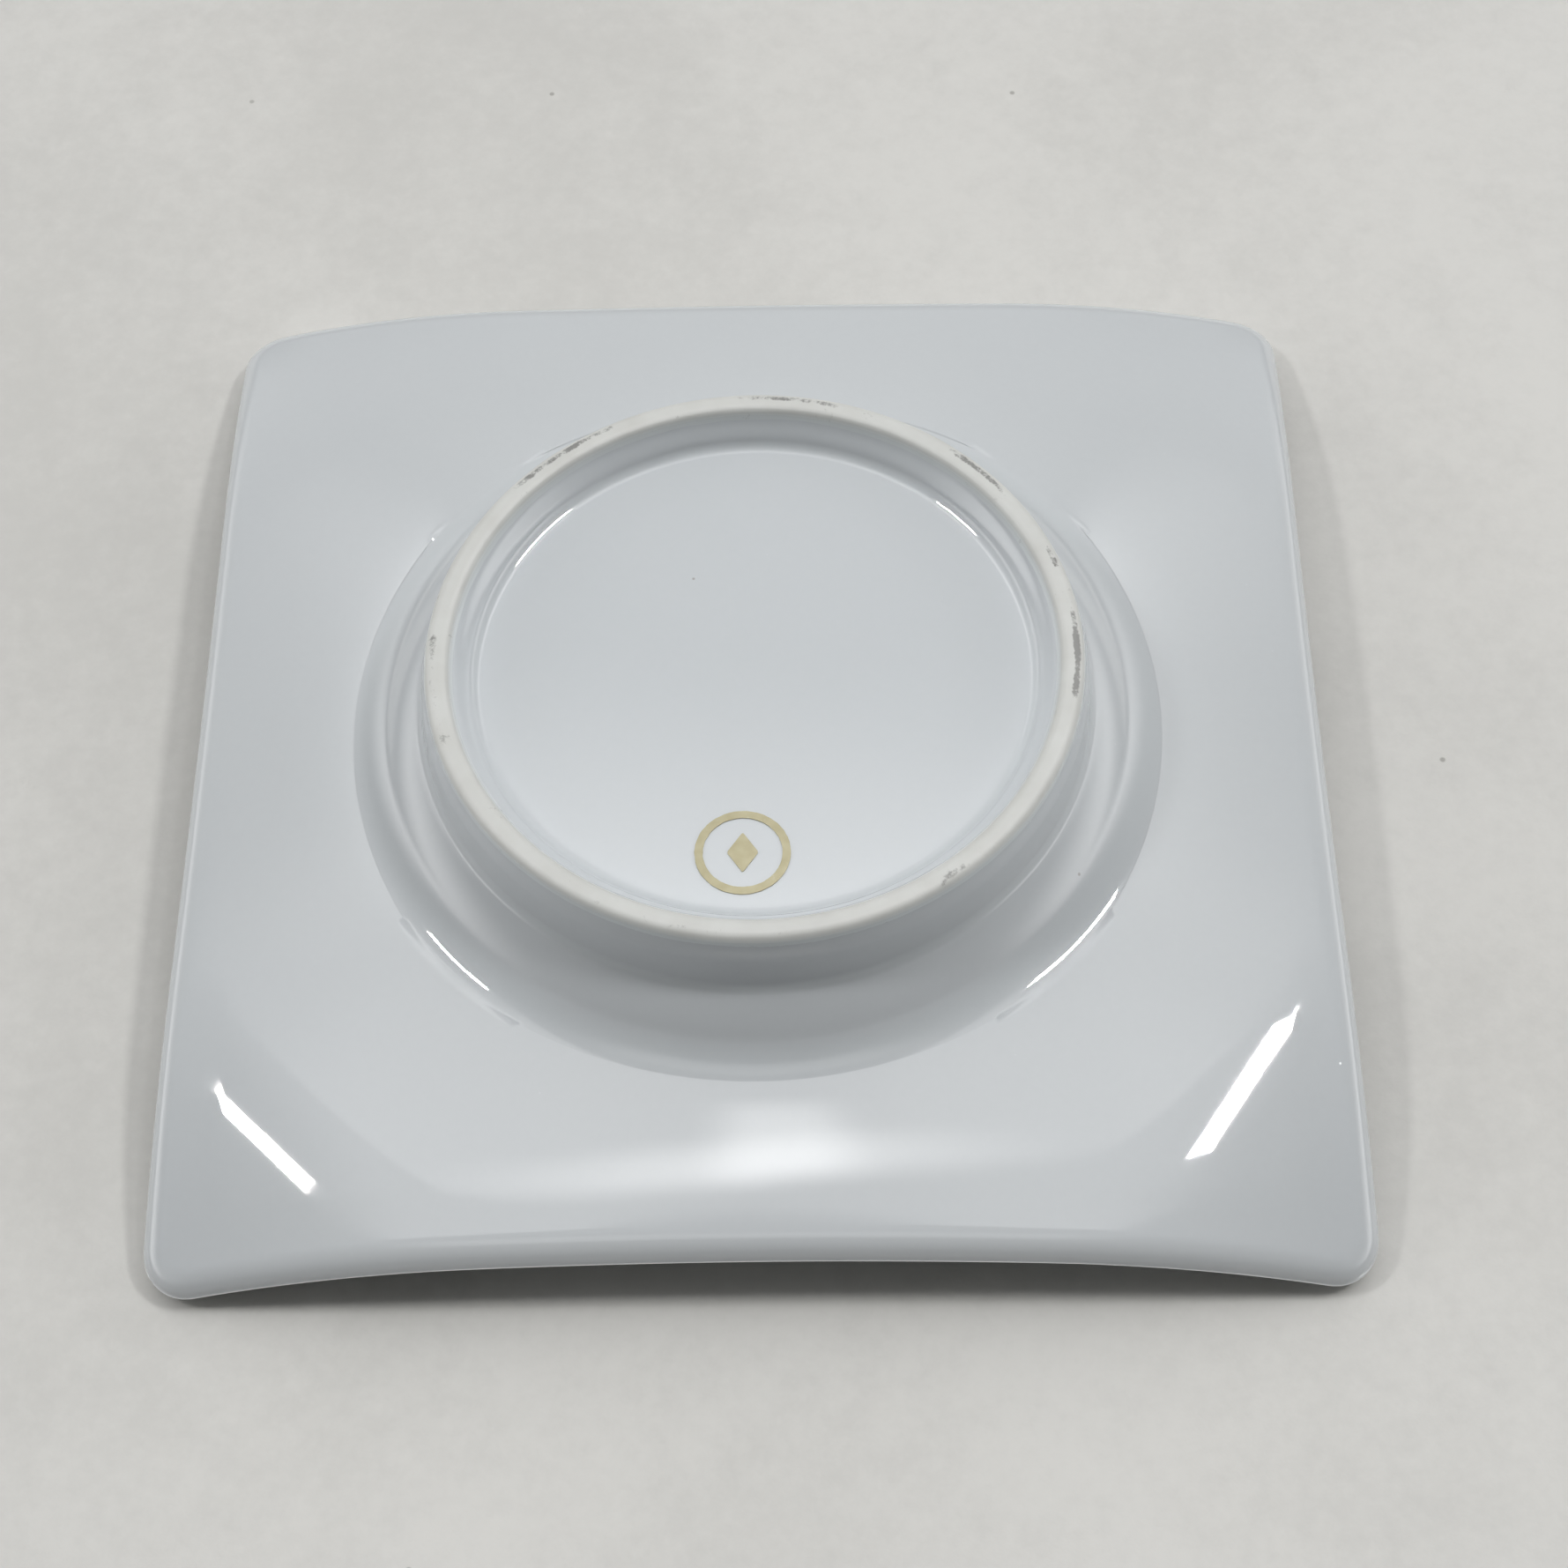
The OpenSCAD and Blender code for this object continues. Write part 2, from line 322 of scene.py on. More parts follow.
# The plate's own rule: rays run from a circle at the crease to the lip of the square, over a squared
# cone whose corners are bent up. It is worked out in one eighth of the plate and turned into place
plate_form, given, sheet, v = start_form("Square plate on a round well", (
    "Plate Side", "Plate Thickness", "Corner Radius", "Side Hollow", "Flange Start Radius",
    "Flange Start Height", "Flange Slope", "Flange Square", "Corner Lift", "Corner Bend", "Corner Curl",
    "Crease Dip", "Crease Dip Width", "Edge Wander"))
even = v["share"] * (2 * math.pi)
crowding = 0.235
a = even + (even * 4).do("SINE") * crowding
quarter = (a / (math.pi / 2)).do("ROUND")
fold = a - quarter * (math.pi / 2)
side_of = fold.do("SIGN")
octant = fold.do("ABSOLUTE")
half_t = v["Plate Thickness"] * 0.5
corner_at = v["Plate Side"] * 0.5 - v["Corner Radius"]
core_r = v["Corner Radius"] - half_t
splay = (v["Side Hollow"] * 2 / corner_at).do("ARCTANGENT")
side_end = corner_at - core_r * splay.do("SINE")
side_reach = corner_at + core_r * splay.do("COSINE") - v["Side Hollow"]
tip_reach = corner_at * math.sqrt(2) + core_r
tangent = octant.do("TANGENT")
bend = side_end * side_end - tangent * tangent * side_reach * v["Side Hollow"] * 4
w = tangent * side_reach * 2 / (side_end + bend.do("SQRT"))
side_x, side_y = side_reach + v["Side Hollow"] * w * w, side_end * w
side_r = (side_x * side_x + side_y * side_y).do("SQRT")
off_diagonal = octant * -1 + math.pi / 4
across = corner_at * math.sqrt(2) * off_diagonal.do("SINE")
corner_reach = corner_at * math.sqrt(2) * off_diagonal.do("COSINE") + (
    core_r * core_r - across * across).do("MAXIMUM", 0).do("SQRT")
at_corner = w.do("GREATER_THAN", 1)
at_side = at_corner * -1 + 1
lip_reach = side_r * at_side + corner_reach * at_corner
out_x = at_side + (lip_reach * octant.do("COSINE") - corner_at) / core_r * at_corner
side_lean = v["Side Hollow"] * w * -2 / side_end
out_y = side_lean * at_side + (lip_reach * octant.do("SINE") - corner_at) / core_r * at_corner
start_r, s = v["Flange Start Radius"], v["along"]
slope = v["Flange Slope"].do("TANGENT")
mid_r = start_r + (lip_reach - start_r) * s - v["inset"]
mid_x, mid_y = mid_r * octant.do("COSINE"), mid_r * octant.do("SINE")
square = (mid_x ** v["Flange Square"] + mid_y ** v["Flange Square"]) ** (v["Flange Square"] ** -1)
opening = start_r / mid_r * -1 + 1
bent = ((mid_x + mid_y) / math.sqrt(2) - tip_reach + v["Corner Bend"]).do("MAXIMUM", 0) / v["Corner Bend"]
fading = ((start_r - mid_r) / v["Crease Dip Width"]).do("EXPONENT")
mid_z = (v["Flange Start Height"] + slope * square * opening + v["Corner Lift"] * bent ** v["Corner Curl"]
         + v["Crease Dip"] * (fading - 1))
dip_slope = v["Crease Dip"] / v["Crease Dip Width"] * fading / mid_r
bend_run = v["Corner Bend"] * math.sqrt(2)
bend_slope = v["Corner Lift"] * v["Corner Curl"] * bent ** (v["Corner Curl"] - 1) / bend_run
tilt_x, tilt_y = [
    slope * ((part / square) ** (v["Flange Square"] - 1) * opening + square * start_r * part / mid_r ** 3)
    + bend_slope - dip_slope * part
    for part in (mid_x, mid_y)]
out_z = out_x * tilt_x + out_y * tilt_y
out_size = (out_x * out_x + out_y * out_y + out_z * out_z).do("SQRT")
up_size = (tilt_x * tilt_x + tilt_y * tilt_y + 1).do("SQRT")
skin = half_t - v["depth"]
skin_out = skin * v["roll"].do("COSINE") / out_size
skin_up = skin * v["roll"].do("SINE") / up_size
drift = wandering(plate_form, v, a) * v["Edge Wander"]
round_r = v["r"] + v["wander_r"] * drift
on_flat = s.do("GREATER_THAN", 0)
on_turn = on_flat * -1 + 1
eighth_x = (mid_x + skin_out * out_x - skin_up * tilt_x) * on_flat + round_r * octant.do("COSINE") * on_turn
eighth_y = (mid_y + skin_out * out_y - skin_up * tilt_y) * on_flat + round_r * octant.do("SINE") * on_turn
turn = quarter * (math.pi / 2)
end_form(
    plate_form, given, sheet,
    eighth_x * turn.do("COSINE") - eighth_y * side_of * turn.do("SINE"),
    eighth_x * turn.do("SINE") + eighth_y * side_of * turn.do("COSINE"),
    (mid_z + skin_out * out_z + skin_up) * on_flat + (v["z"] + v["wander_z"] * drift) * on_turn, v["pool"])


def form_piece(name, tree, stations, finish, **sizes):
    """Runs an outline through a form tree and keeps the result as a plain mesh with clean normals."""
    sharp_edge = math.radians(50)
    outline = bpy.data.meshes.new(name)
    outline.from_pydata([(p.x, 0, p.y) for p in (st.get("at", Vector((0, 0))) for st in stations)], [], [])
    for word in station_words:
        row = outline.attributes.new(word, "FLOAT", "POINT")
        row.data.foreach_set("value", [float(st.get(word, 0)) for st in stations])
    piece = bpy.data.objects.new(name, outline)
    scene.collection.objects.link(piece)
    form = piece.modifiers.new("Form", "NODES")
    form.node_group = tree
    sizes["Finish"] = finish
    for socket in tree.interface.items_tree:
        if socket.in_out == "INPUT" and socket.name in sizes:
            form[socket.identifier] = sizes[socket.name]
    made = bpy.data.meshes.new_from_object(piece.evaluated_get(bpy.context.evaluated_depsgraph_get()))
    piece.modifiers.clear()
    piece.data = made
    made.name = name
    for spare in list(made.attributes):
        if not (spare.is_internal or spare.is_required or spare.name == "pool"):
            made.attributes.remove(spare)
    made.materials.clear()
    made.materials.append(finish)
    solid = bmesh.new()
    solid.from_mesh(made)
    bmesh.ops.recalc_face_normals(solid, faces=solid.faces)
    solid.to_mesh(made)
    solid.free()
    made.shade_smooth()
    made.set_sharp_from_angle(angle=sharp_edge)
    return piece


def colour(red, green, blue):
    """A colour as it looks on a screen, 0 to 255, in the light values that shaders use."""
    parts = [c / 255 for c in (red, green, blue)]
    return (*[c / 12.92 if c <= 0.04045 else ((c + 0.055) / 1.055) ** 2.4 for c in parts], 1)


def wire(tree, kind, **settings):
    """A shader node with its settings; sockets are named with words, or numbered with at_0, at_1."""
    node = tree.nodes.new("ShaderNode" + kind)
    for name, value in settings.items():
        if hasattr(node, name):
            setattr(node, name, value)
            continue
        slot = node.inputs[int(name[3:]) if name.startswith("at_") else name.replace("_", " ")]
        if isinstance(value, (Rule, bpy.types.NodeSocket)):
            tree.links.new(getattr(value, "socket", value), slot)
        else:
            slot.default_value = value
    return node


def texture(tree, kind, spot, **settings):
    """A noise or cell pattern as a number: its factor, or the distance from the middle of each cell."""
    node = wire(tree, "Tex" + kind, Vector=spot, **settings)
    return Rule(tree, node.outputs["Fac" if kind == "Noise" else "Distance"])


def ease(rule, low, high):
    """From 0 below low to 1 above high, with a soft start and end."""
    soft = wire(rule.tree, "MapRange", interpolation_type="SMOOTHSTEP",
                Value=rule, From_Min=low, From_Max=high)
    return Rule(rule.tree, soft.outputs[0])


def blend(tree, share, first, second):
    """The first colour where share is 0, the second where it is 1."""
    return wire(tree, "Mix", data_type="RGBA", at_0=share, at_6=first, at_7=second).outputs[2]


def new_effect(name, takes, gives):
    """An effect that several finishes share; what it takes and what it gives are named sockets."""
    tree = bpy.data.node_groups.new(name, "ShaderNodeTree")
    for side, sockets in (("INPUT", takes), ("OUTPUT", gives)):
        for word, kind in sockets.items():
            tree.interface.new_socket(word, in_out=side, socket_type="NodeSocket" + kind)
    return tree, tree.nodes.new("NodeGroupInput").outputs, tree.nodes.new("NodeGroupOutput").inputs


def new_finish(name, **shader):
    """A material with one surface shader; its plain values stand on the shader's own sockets."""
    finish = bpy.data.materials.new(name)
    finish.use_nodes = True
    surface = finish.node_tree.nodes["Principled BSDF"]
    for word, value in shader.items():
        surface.inputs[word.replace("_", " ")].default_value = value
    spot = wire(finish.node_tree, "TexCoord").outputs["Object"]
    return finish, finish.node_tree, surface.inputs, spot


def dress(tree, inputs, bump_height=None, bump_depth=0.0, **sockets):
    """Puts a finish's colour, roughness and bump into its surface shader."""
    for word, source in sockets.items():
        tree.links.new(getattr(source, "socket", source), inputs[word.replace("_", " ")])
    if bump_height is not None:
        bump = wire(tree, "Bump", Height=bump_height, Distance=bump_depth)
        tree.links.new(bump.outputs[0], inputs["Normal"])


# Grain of the fired clay, in the body and on the bare seat: fine grit, larger clouds and open pores
clay_grain, takes, gives = new_effect(
    "Clay grain", {"Spot": "Vector"}, {"Grit": "Float", "Cloud": "Float", "Height": "Float"})
grit = texture(clay_grain, "Noise", takes["Spot"], Scale=2200.0, Detail=6.0, Roughness=0.7)
cloud = texture(clay_grain, "Noise", takes["Spot"], Scale=260.0, Detail=3.0)
pores = ease(texture(clay_grain, "Voronoi", takes["Spot"], Scale=1800.0), 0.05, 0.3)
for word, value in (("Grit", grit), ("Cloud", cloud), ("Height", grit * 0.6 + pores * 0.4)):
    clay_grain.links.new(value.socket, gives[word])

biscuit, tree, inputs, spot = new_finish("Fired porcelain", IOR=1.5)
grain = wire(tree, "Group", node_tree=clay_grain, Spot=spot).outputs
dress(tree, inputs, grain["Height"], 0.02 * mm,
      Base_Color=blend(tree, grain["Cloud"], colour(206, 205, 199), colour(216, 215, 210)),
      Roughness=Rule(tree, grain["Grit"]) * 0.2 + 0.6)

plate_sizes = {
    "Plate Side": plate_side, "Plate Thickness": plate_t, "Corner Radius": corner_r,
    "Side Hollow": side_hollow, "Flange Start Radius": flange_start.x,
    "Flange Start Height": flange_start.y, "Flange Slope": flange_slope, "Flange Square": flange_square,
    "Corner Lift": corner_lift, "Corner Bend": corner_bend, "Corner Curl": corner_curl,
    "Crease Dip": crease_dip, "Crease Dip Width": crease_dip_w, "Rays": 384}
hidden_steps, seen_steps = 10, 28
plate_turn = [{"at": Vector((0, foot_top))}, {"at": joint}] + under_stations(glaze_t, hidden_steps)
plate_turn += upper_stations(glaze_t, hidden_steps)[1:]
plate = form_piece("plate", plate_form, plate_turn, biscuit, **plate_sizes)
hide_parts("porcelain_body")
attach(plate, "root")


# Foot ring
# A turned ring of the same clay under the well, with a seat ground bare of glaze so that it does not
# stick in the kiln. Wear from tables and stacking leaves grey rubs on its edges.
seat_w = 1.8 * mm
seat_edge_r = 0.8 * mm
recess_r = foot_r - seat_w
recess_dir = Vector((-recess_draft, recess_depth)).normalized()
recess_in = -turned(recess_dir)
recess_top = Vector((recess_r - recess_draft * foot_top / recess_depth, foot_top))

turned_form, given, sheet, v = start_form("Turned round the axis", ("Centre X", "Centre Y", "Edge Wander"))
a = v["share"] * (2 * math.pi)
drift = wandering(turned_form, v, a) * v["Edge Wander"]
r = v["r"] + v["wander_r"] * drift
end_form(turned_form, given, sheet, v["Centre X"] + r * a.do("COSINE"), v["Centre Y"] + r * a.do("SINE"),
         v["z"] + v["wander_z"] * drift, v["pool"])


def seat_edge(a, r, c):
    """Rounded edge of the seat at the radius r, between the points a and c."""
    ground_band, calm = 0.1 * mm, 0.3
    rounding = fillet(a, Vector((r, 0)), c, seat_edge_r, -1, 10)
    return [{"at": p, "wander_z": 1 if p.y < ground_band else calm} for p, _, _ in rounding]


# Patches where something is rubbed on or worn off, in loose grains that gather towards a given weight
rubbed, takes, gives = new_effect("Rubbed patches", {"Spot": "Vector", "Weight": "Float"}, {"Mask": "Float"})
patch = texture(rubbed, "Noise", takes["Spot"], Scale=420.0, Detail=2.0)
flecks = texture(rubbed, "Noise", takes["Spot"], Scale=2600.0, Detail=4.0, Roughness=0.65)
gathered = patch * 0.55 + flecks * 0.45 + Rule(rubbed, takes["Weight"])
rubbed.links.new(ease(gathered, 0.66, 0.82).socket, gives["Mask"])

bare, tree, inputs, spot = new_finish("Bare seat", IOR=1.5)
grain = wire(tree, "Group", node_tree=clay_grain, Spot=spot).outputs
seat_x, seat_y, seat_z = (
    Rule(tree, axis) for axis in wire(tree, "SeparateXYZ", Vector=spot).outputs)
# Rubs gather in a line along the crown of the seat, each at a direction and over a half width in degrees
crown_r = 27.1 * mm
rub_places = (
    (2, 14, 0.3), (-20, 4, 0.24), (-44, 9, 0.25), (-82, 12, 0.19),
    (-128, 15, 0.25), (174, 16, 0.13), (52, 6, 0.16), (100, 20, 0.08))
radius = (seat_x * seat_x + seat_y * seat_y).do("SQRT")
crown = ease((radius - crown_r).do("ABSOLUTE"), 0.45 * mm, 0.1 * mm)
weight = Rule(tree, grain["Cloud"]) * 0.08
for way, half_width, strength in rub_places:
    way, half_width = math.radians(way), math.radians(half_width)
    faces = (seat_x * math.cos(way) + seat_y * math.sin(way)) / radius
    near = ease(faces, math.cos(half_width), math.cos(half_width / 3))
    weight = weight + near * crown * strength
rubs = Rule(tree, wire(tree, "Group", node_tree=rubbed, Spot=spot, Weight=weight).outputs["Mask"])
clay_tone = blend(tree, grain["Cloud"], colour(187, 187, 182), colour(207, 209, 206))
# Towards the glaze a thin skin of it runs down over the rounded edges. Its tone is set lighter than
# the glaze itself, a painted sheen on the rounded edges of the seat.
skin = ease(seat_z, 0.15 * mm, seat_edge_r)
seat_tone_and_sheen = blend(tree, skin, clay_tone, colour(209, 214, 215))
dress(tree, inputs, grain["Height"], 0.008 * mm,
      Base_Color=blend(tree, rubs * 0.8, seat_tone_and_sheen, colour(92, 91, 88)),
      Roughness=(Rule(tree, grain["Grit"]) * 0.3 + 0.45) * (skin * -0.75 + 1))

seat_in, seat_out = Vector((recess_r, 0)), Vector((foot_r, 0))
seat_turn = [{"at": recess_top}, {"at": seat_in.lerp(recess_top, 0.4)}]
seat_turn += seat_edge(recess_top, recess_r, seat_out) + seat_edge(seat_in, foot_r, joint)
seat_turn += [{"at": seat_out.lerp(joint, 0.4)}, {"at": joint}]
turned_rays = 256
foot = form_piece("foot", turned_form, seat_turn + seat_turn[:1], bare,
                  **{"Rays": turned_rays, "Seed": 3, "Edge Wander": 0.04 * mm})
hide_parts("foot_ring")
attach(foot, "root")


# Glaze under the plate
# A clear, hard glaze fired onto the white body. It starts in a soft bead on the foot wall, just above
# the bare seat, and runs out over the well and the flange to the middle of the lip.
edge_taper = 2 * mm
edge_wander = 0.3 * mm
taper_steps = 8


def bead(base, along, inward):
    """Edge of a coat that thins out on a wall, from nothing to its full thickness."""
    stations = []
    for k in range(taper_steps + 1):
        share = k / taper_steps
        thick = glaze_t * share * share * (3 - 2 * share)
        at = base + along * (glaze_line + edge_taper * share) + inward * (glaze_t - thick)
        wander = 1 - share
        stations.append({"at": at, "wander_z": wander, "wander_r": wander * along.x / along.y})
    return stations


# Look of the glaze: clouds of tone, a bluish tint where it pools, thin on edges, pinholes and kiln specks
fired_glaze, takes, gives = new_effect(
    "Fired glaze", {"Spot": "Vector", "Pool": "Float", "Pale": "Color", "Deep": "Color"},
    {"Color": "Color", "Roughness": "Float", "Height": "Float"})
cloud = texture(fired_glaze, "Noise", takes["Spot"], Scale=55.0, Detail=3.0)
mottle = texture(fired_glaze, "Noise", takes["Spot"], Scale=1500.0, Detail=3.0)
waves = texture(fired_glaze, "Noise", takes["Spot"], Scale=160.0, Detail=1.0)
peel = texture(fired_glaze, "Noise", takes["Spot"], Scale=620.0, Detail=2.0)


def scattered(tree, spot, scale, size, chance, dimensions="3D"):
    """Small round spots in some of the cells of a pattern."""
    cells = wire(tree, "TexVoronoi", voronoi_dimensions=dimensions, Vector=spot, Scale=scale)
    chosen = ease(Rule(tree, cells.outputs["Color"]), 1 - chance, 1 - chance + 0.02)
    return ease(Rule(tree, cells.outputs["Distance"]), size, size * 0.4) * chosen


pinholes = scattered(fired_glaze, takes["Spot"], 420.0, 0.07, 0.3)
specks = scattered(fired_glaze, takes["Spot"], 110.0, 0.022, 0.35)
pool = Rule(fired_glaze, takes["Pool"])
pooled_tint, thin_tint, speck_tint = 0.15, 0.2, 0.55
tone = blend(fired_glaze, cloud * 0.6 + mottle * 0.4, takes["Deep"], takes["Pale"])
tone = blend(fired_glaze, ease(pool, 0, 1) * pooled_tint, tone, colour(184, 192, 194))
tone = blend(fired_glaze, ease(pool, 0, -1) * thin_tint, tone, colour(206, 208, 206))
tone = blend(fired_glaze, specks * speck_tint, tone, colour(122, 112, 98))
fired_glaze.links.new(tone, gives["Color"])
fired_glaze.links.new((cloud * 0.012 + pinholes * 0.25 + 0.018).socket, gives["Roughness"])
fired_glaze.links.new((waves * 0.6 + peel * 0.04 - pinholes * 0.5).socket, gives["Height"])


def new_glaze(name, deep, pale):
    """One coat of the clear glaze over the white body."""
    finish, tree, inputs, spot = new_finish(name, IOR=1.52)
    pooled = wire(tree, "Attribute", attribute_name="pool").outputs["Fac"]
    look = wire(tree, "Group", node_tree=fired_glaze, Spot=spot, Pool=pooled, Deep=deep, Pale=pale).outputs
    ripple = 0.002 * mm
    dress(tree, inputs, look["Height"], ripple, Base_Color=look["Color"], Roughness=look["Roughness"])
    return finish


under_edge = bead(wall_foot, wall_dir, wall_in)
under_turn = under_edge + under_stations(0, seen_steps) + under_stations(glaze_t, hidden_steps)[::-1]
under_coat = form_piece(
    "glaze_under", plate_form, under_turn + under_edge[:1],
    new_glaze("Glaze under the plate", colour(192, 196, 199), colour(199, 203, 205)),
    **plate_sizes, **{"Seed": 5, "Edge Wander": edge_wander})
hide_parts("under_glaze")
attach(under_coat, "root")


# Glaze of the eating side
# The same clear glaze on the upper side, from the middle of the lip in over the flange and down to
# the floor of the well, poured in one coat with the glaze below.
upper_coat = form_piece(
    "glaze_upper", plate_form,
    upper_stations(0, seen_steps)[::-1] + upper_stations(glaze_t, hidden_steps),
    new_glaze("Glaze of the eating side", colour(194, 198, 200), colour(201, 205, 206)), **plate_sizes)
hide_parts("upper_glaze")
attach(upper_coat, "root")


# Glaze inside the foot
# A pool of the same glaze in the recess of the foot: it lines the floor, rounds the corner and ends
# in a bead on the inner wall, just above the bare seat. Its tones are set lighter than the glaze under
# the plate, as painted light that brightens the recess and its walls.
recess_fillet = 0.7 * mm
pooled_fillet = 1.2 * mm
recess_foot = Vector((recess_r, 0)) - glaze_t * recess_in
recess_middle = Vector((0, recess_depth))
recess_corner = meet(recess_foot, recess_dir, recess_middle, Vector((1, 0)))
# The print is placed from the corner's own fillet, and the glaze pools over it in a wider one
recess_flat_r = fillet(recess_corner - recess_dir, recess_corner, recess_middle, recess_fillet, 1, 1)[-1][0].x
recess_round = fillet(recess_corner - recess_dir, recess_corner, recess_middle, pooled_fillet, 1, 16)
pool_flat_r = recess_round[-1][0].x - floor_edge
recess_turn = [{"at": Vector((0, foot_top))}, {"at": recess_top}]
recess_turn += bead(recess_foot, recess_dir, recess_in) + on_round(recess_round, 0)
recess_turn += [{"at": Vector((pool_flat_r, recess_depth))}, {"at": recess_middle}]
recess_coat = form_piece(
    "glaze_recess", turned_form, recess_turn,
    # Painted light: these tones are lighter than the glaze under the plate, so the recess shows brighter
    new_glaze("Glaze inside the foot, painted lighter", colour(199, 204, 207), colour(205, 209, 212)),
    **{"Rays": turned_rays, "Seed": 9, "Edge Wander": edge_wander})
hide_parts("recess_glaze")
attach(recess_coat, "root")


# Gold print
# A ring and a lozenge of gold lustre, printed on the glazed floor of the recess and fired on. The
# film is thin, so its edge wanders and the glaze shows through in places.
mark_d = 8 * mm
mark_line = 0.8 * mm
lozenge_w = 2.6 * mm
lozenge_gap = 1.3 * mm
lozenge_round = 0.18 * mm
mark_t = 0.08 * mm
mark_gap = 1.5 * mm
mark_left = 1 * mm
ring_r = mark_d / 2
mark_at = Vector((-mark_left, recess_flat_r - mark_gap - ring_r))
ring_bore_r = ring_r - mark_line
film_face, film_back = recess_depth - mark_t, recess_depth

gold, tree, inputs, spot = new_finish("Gold lustre", Metallic=0.15, IOR=1.5)
thin = texture(tree, "Noise", spot, Scale=1300.0, Detail=4.0)
worn = Rule(tree, wire(tree, "Group", node_tree=rubbed, Spot=spot, Weight=0.06).outputs["Mask"])
film_tone = blend(tree, thin, colour(143, 135, 98), colour(165, 158, 127))
dress(tree, inputs, thin, 0.004 * mm,
      Base_Color=blend(tree, worn * 0.6, film_tone, colour(198, 200, 196)), Roughness=thin * 0.2 + 0.28)

ring_turn = [{"at": Vector((r, z)), "wander_r": inward} for r, z, inward in (
    (ring_bore_r, film_back, 1), (ring_bore_r, film_face, 1),
    (ring_r, film_face, -1), (ring_r, film_back, -1))]
ring = form_piece(
    "gold_ring", turned_form, ring_turn + ring_turn[:1], gold,
    **{"Rays": 160, "Seed": 4, "Edge Wander": 0.12 * mm, "Centre X": mark_at.x, "Centre Y": mark_at.y})
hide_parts("mark_ring")
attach(ring, "root")

tip = ring_bore_r - lozenge_gap
lozenge_mesh = bpy.data.meshes.new("gold_lozenge")
shape = bmesh.new()
corners = [shape.verts.new((mark_at.x + x, mark_at.y + y, film_face)) for x, y in (
    (lozenge_w / 2, 0), (0, tip), (-lozenge_w / 2, 0), (0, -tip))]
shape.faces.new(corners)
bmesh.ops.bevel(shape, geom=corners, offset=lozenge_round, segments=5, affect="VERTICES", profile=0.5)
grown = bmesh.ops.extrude_face_region(shape, geom=shape.faces[:])
for vert in [g for g in grown["geom"] if isinstance(g, bmesh.types.BMVert)]:
    vert.co.z = film_back
bmesh.ops.recalc_face_normals(shape, faces=shape.faces)
shape.to_mesh(lozenge_mesh)
shape.free()
lozenge_mesh.materials.append(gold)
lozenge = bpy.data.objects.new("gold_lozenge", lozenge_mesh)
scene.collection.objects.link(lozenge)
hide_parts("mark_lozenge")
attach(lozenge, "root")


# Table, light and camera
# The dish lies upside down on a pale table, on its four tips, and is seen from above its foot.
tip_z = cad_high[2]
camera_data = bpy.data.cameras.new("camera")
camera_data.sensor_width = 36
camera_data.lens = 68.774
camera = bpy.data.objects.new("camera", camera_data)
scene.collection.objects.link(camera)
right = Vector((0.99983, 0.00489, 0.0177))
upward = Vector((0.01351, -0.84867, -0.52874))
back = right.cross(upward)
camera_at = Vector((5.491, 142.548, -207.345)) * mm
camera.matrix_world = Matrix.Translation(camera_at) @ Matrix((right, upward, back)).transposed().to_4x4()
camera_data.clip_start, camera_data.clip_end = 0.01, 20
scene.camera = camera


def flat_sheet(name, half, z, facing_up, finish):
    """A plain square of the setting, with one good side."""
    corners = [(-half, -half, z), (half, -half, z), (half, half, z), (-half, half, z)]
    mesh = bpy.data.meshes.new(name)
    mesh.from_pydata(corners if facing_up else corners[::-1], [], [(0, 1, 2, 3)])
    mesh.materials.append(finish)
    sheet = bpy.data.objects.new(name, mesh)
    scene.collection.objects.link(sheet)


def one_sided(tree, surface, hidden):
    """Lets a sheet of the setting show only from its good side, and never to the rays that hidden marks."""
    gone = hidden.do("MAXIMUM", Rule(tree, wire(tree, "NewGeometry").outputs["Backfacing"]))
    mix = wire(tree, "MixShader", at_0=gone, at_1=surface, at_2=wire(tree, "BsdfTransparent").outputs[0])
    tree.links.new(mix.outputs[0], tree.nodes["Material Output"].inputs["Surface"])


# Pale painted board, for the table and for the floor under the upright dish: soft clouds and fine flecks
pale_board, takes, gives = new_effect(
    "Pale board", {"Spot": "Vector"}, {"Color": "Color", "Roughness": "Float", "Height": "Float"})
cloud = texture(pale_board, "Noise", takes["Spot"], Scale=16.0, Detail=5.0)
flecks = texture(pale_board, "Noise", takes["Spot"], Scale=480.0, Detail=5.0, Roughness=0.7)
marks = ease(texture(pale_board, "Noise", takes["Spot"], Scale=85.0, Detail=6.0, Roughness=0.75), 0.66, 0.8)
dust = scattered(pale_board, takes["Spot"], 26.0, 0.009, 0.3, "2D")
stains = texture(pale_board, "Noise", takes["Spot"], Scale=38.0, Detail=6.0, Roughness=0.7)
mottled = ease(cloud * 0.35 + stains * 0.4 + flecks * 0.25, 0.36, 0.64)
tone = blend(pale_board, mottled, colour(197, 196, 192), colour(210, 209, 205))
tone = blend(pale_board, marks * 0.35, tone, colour(172, 170, 165))
pale_board.links.new(blend(pale_board, dust * 0.6, tone, colour(120, 117, 110)), gives["Color"])
pale_board.links.new((flecks * 0.2 + 0.6).socket, gives["Roughness"])
pale_board.links.new(flecks.socket, gives["Height"])


def board_finish(name):
    """The pale board as a material, with its tree, its surface and the place on it."""
    finish, tree, inputs, spot = new_finish(name, IOR=1.4)
    look = wire(tree, "Group", node_tree=pale_board, Spot=spot).outputs
    dress(tree, inputs, look["Height"], 0.03 * mm, Base_Color=look["Color"], Roughness=look["Roughness"])
    return finish, tree, tree.nodes["Principled BSDF"].outputs[0], spot


